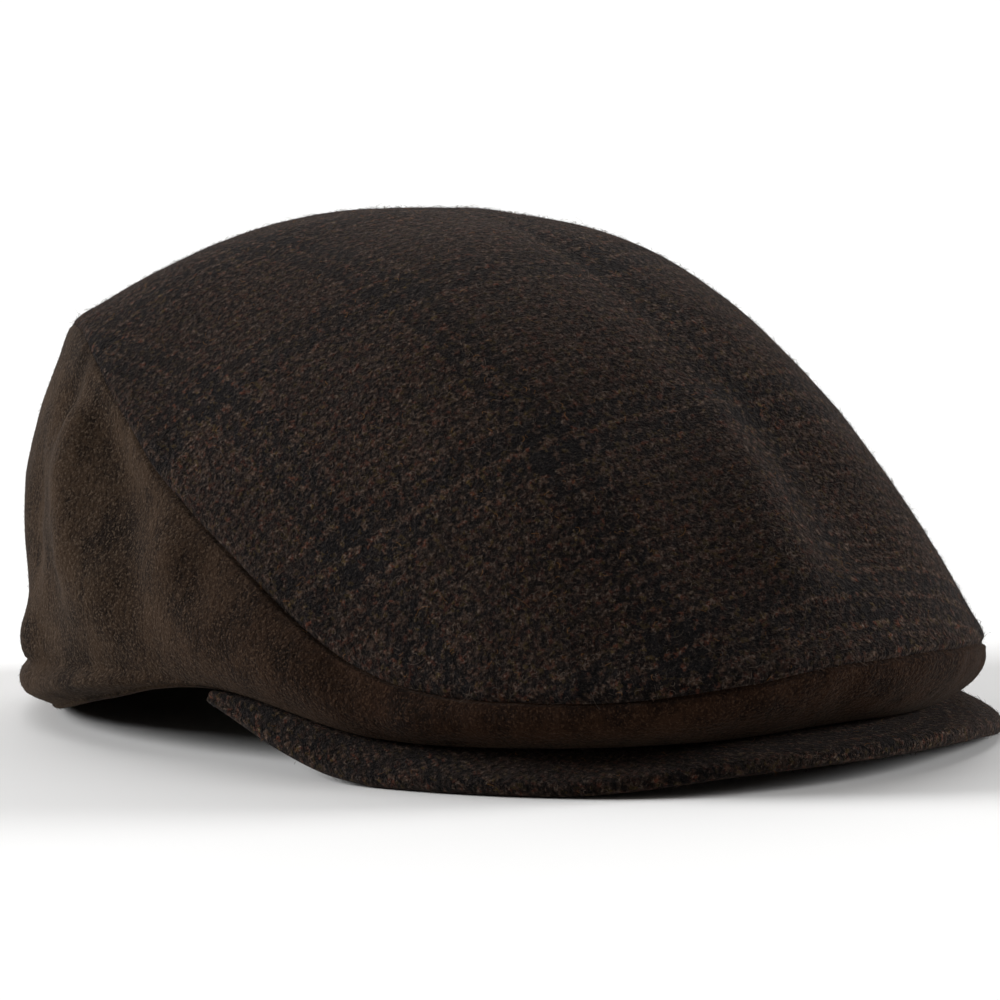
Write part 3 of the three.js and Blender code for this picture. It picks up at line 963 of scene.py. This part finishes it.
def scatter_fibres(name, carrier, tree, values):
    """A piece of its own with the fibres of one carrier, as a plain mesh."""
    piece = bpy.data.objects.new(name, carrier.data.copy())
    bpy.context.collection.objects.link(piece)
    modifier = piece.modifiers.new("fibres", "NODES")
    modifier.node_group = tree
    sockets = {item.name: item.identifier for item in tree.interface.items_tree if item.in_out == "INPUT"}
    for key, value in values.items():
        modifier[sockets[key]] = value
    evaluated = piece.evaluated_get(bpy.context.evaluated_depsgraph_get())
    made = bpy.data.meshes.new_from_object(evaluated)
    piece.modifiers.remove(modifier)
    piece.data = made
    made.name = name
    return piece


class FLATCAP_OT_fibres(bpy.types.Operator):
    """Scatters the loose wool fibres on the tweed and the raised nap on the suede"""

    bl_idname = "flatcap.fibres"
    bl_label = "Make Fibres"

    def execute(self, context):
        finish = context.scene.flat_cap_finish
        tree = fibre_tree()
        wool_colours = (finish.fibre_brown, finish.tweed_lint, finish.fibre_warm)
        nap_colours = (finish.suede_brown, finish.suede_pale, finish.suede_pale)
        wool = fibre_material("wool fibres", wool_colours, finish, checked=True)
        nap = fibre_material("suede fibres", nap_colours, finish, checked=False)
        crown = bpy.data.objects["tweed_crown"]
        band = bpy.data.objects["suede_band"]
        visor = bpy.data.objects["tweed_visor"]
        short = {"Shortest": 0.7 * MM, "Longest": 1.7 * MM, "Rise": 0.55, "Radius": 0.049 * MM}
        stray = {"Shortest": 2.5 * MM, "Longest": 5.0 * MM, "Rise": 0.4, "Radius": 0.035 * MM}
        velvet = {"Shortest": 0.5 * MM, "Longest": 1.0 * MM, "Rise": 0.5, "Radius": 0.043 * MM}
        jobs = (
            ("crown_fuzz_a", crown, finish.crown_fibres, short, 3, wool, "tweed"),
            ("crown_fuzz_b", crown, finish.crown_fibres, short, 4, wool, "tweed"),
            ("crown_strays", crown, STRAY_FIBRES, stray, 5, wool, "tweed"),
            ("visor_fuzz", visor, finish.crown_fibres, short, 6, wool, "tweed"),
            ("band_nap", band, finish.suede_fibres, velvet, 7, nap, "suede"),
        )
        for name, carrier, density, shape, seed, material, slot in jobs:
            values = {"Density": float(density), "Seed": seed, "Material": material, **shape}
            piece = scatter_fibres(name, carrier, tree, values)
            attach(piece, "root")
        return {"FINISHED"}


class FLATCAP_OT_stage(bpy.types.Operator):
    """Makes the plain pale floor, the soft studio light and the camera"""

    bl_idname = "flatcap.stage"
    bl_label = "Make Stage"

    def execute(self, context):
        scene = context.scene
        sizes = scene.flat_cap_sizes
        scene.view_settings.view_transform = "Standard"
        floor_mesh = bpy.data.meshes.new("floor")
        half = 30.0
        corners = [(-half, -half, 0), (half, -half, 0), (half, half, 0), (-half, half, 0)]
        floor_mesh.from_pydata(corners, [], [(0, 1, 2, 3)])
        material, bench = new_material("pale floor")
        grey = (0.82, 0.82, 0.82, 1.0)
        bench.surface({"Base Color": grey, "Roughness": 0.9})
        floor_mesh.materials.append(material)
        floor = bpy.data.objects.new("floor", floor_mesh)
        scene.collection.objects.link(floor)

        world = bpy.data.worlds.new("studio")
        world.use_nodes = True
        background = world.node_tree.nodes["Background"]
        background.inputs["Color"].default_value = (1.0, 0.93, 0.86, 1.0)
        background.inputs["Strength"].default_value = 0.10
        scene.world = world

        add_soft_sun("rear light", (0.5, 0.85, 1.1), 1.9, 70)
        add_soft_sun("left light", (-0.62, 0.8, 0.42), 3.6, 25)
        add_soft_sun("right light", (0.9, -0.42, 0.3), 3.0, 20)

        shift = origin_shift(sizes)
        target = Vector((shift[0], shift[1], 0.0483))
        add_camera(scene, target)
        return {"FINISHED"}


def add_soft_sun(name, direction, strength, spread):
    """A wide even light from one direction. Spread is its width in degrees."""
    light = bpy.data.lights.new(name, "SUN")
    light.energy = strength
    light.angle = math.radians(spread)
    lamp = bpy.data.objects.new(name, light)
    lamp.rotation_euler = Vector(direction).to_track_quat("Z", "Y").to_euler()
    bpy.context.scene.collection.objects.link(lamp)


def add_camera(scene, target):
    """The photograph's view: from the wearer's right, a little above, with a long lens.

    The angles, the distance, the lens and the shifts come from a fit to places on the photo.
    """
    azimuth = math.radians(-38.2)
    elevation = math.radians(6.5)
    roll = math.radians(-1.4)
    distance = 1.264
    back = Vector(
        (
            math.sin(azimuth) * math.cos(elevation),
            -math.cos(azimuth) * math.cos(elevation),
            math.sin(elevation),
        )
    )
    camera_data = bpy.data.cameras.new("camera")
    camera_data.sensor_width = 36.0
    camera_data.lens = 194.1
    camera_data.shift_x = 0.0493
    camera_data.shift_y = 0.0039
    camera_data.clip_end = 100.0
    camera = bpy.data.objects.new("camera", camera_data)
    turn = back.to_track_quat("Z", "Y") @ Matrix.Rotation(roll, 3, "Z").to_quaternion()
    camera.rotation_euler = turn.to_euler()
    camera.location = target + back * distance
    scene.collection.objects.link(camera)
    scene.camera = camera


class FLATCAP_PT_panel(bpy.types.Panel):
    """The flat cap's pieces and sizes"""

    bl_label = "Flat Cap"
    bl_idname = "FLATCAP_PT_panel"
    bl_space_type = "VIEW_3D"
    bl_region_type = "UI"
    bl_category = "Flat Cap"

    def draw(self, context):
        layout = self.layout
        for group in (context.scene.flat_cap_sizes, context.scene.flat_cap_finish):
            for name in group.__annotations__:
                layout.prop(group, name)
        for operator in OPERATORS:
            layout.operator(operator.bl_idname)


OPERATORS = (FLATCAP_OT_crown, FLATCAP_OT_band, FLATCAP_OT_visor, FLATCAP_OT_fibres, FLATCAP_OT_stage)
CLASSES = (CapSizes, CapFinish, *OPERATORS, FLATCAP_PT_panel)


def register():
    for each in CLASSES:
        bpy.utils.register_class(each)
    bpy.types.Scene.flat_cap_sizes = bpy.props.PointerProperty(type=CapSizes)
    bpy.types.Scene.flat_cap_finish = bpy.props.PointerProperty(type=CapFinish)


def unregister():
    del bpy.types.Scene.flat_cap_finish
    del bpy.types.Scene.flat_cap_sizes
    for each in reversed(CLASSES):
        bpy.utils.unregister_class(each)


def main():
    register()
    bpy.ops.flatcap.stage()
    bpy.ops.flatcap.crown()
    bpy.ops.flatcap.band()
    bpy.ops.flatcap.visor()
    bpy.ops.flatcap.fibres()


if __name__ == "__main__":
    main()
